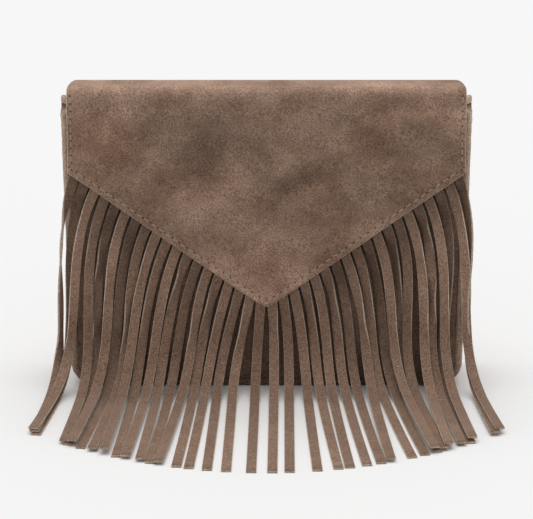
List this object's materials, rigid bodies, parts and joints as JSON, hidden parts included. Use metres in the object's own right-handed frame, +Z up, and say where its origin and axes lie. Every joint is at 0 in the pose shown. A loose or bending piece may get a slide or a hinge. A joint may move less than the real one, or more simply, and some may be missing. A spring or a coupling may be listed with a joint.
{
  "type": "fringed suede bag",
  "caption": "Flat suede bag with a pentagon flap and a slit fringe under its V, on a wedge-shaped body that stands upright.",
  "frame": {"origin": "middle of the base's underside, where the bag stands", "axes": "+X across the bag to the right, -Y the front, +Z up"},
  "size_m": [0.2552, 0.1688, 0.1707],
  "materials": {
    "suede": "matt suede nap",
    "lining": "plain cotton twill",
    "board": "bonded fibre board",
    "metal": "nickel plate"
  },
  "bodies": {
    "bag": {"front_panel": "suede", "back_panel": "suede", "gusset": "suede", "seam_welt_front": "suede", "seam_welt_back": "suede", "mouth_binding": "suede", "base_board": "board", "lining_front": "lining", "lining_back": "lining", "lining_gusset": "lining", "snap_cup": "metal", "snap_cup_washer": "metal"},
    "flap": {"flap_outer": "suede", "flap_stiffener": "board", "flap_lining": "lining", "fringe_left": "suede", "fringe_right": "suede", "snap_stud": "metal", "snap_stud_washer": "metal"}
  },
  "joints": [
    {"name": "flap_open", "type": "hinge", "parent": "bag", "child": "flap", "pos_m": [0, 0.01101, 0.1625], "axis": [-1, 0, 0], "range_deg": [0, 180]}
  ]
}
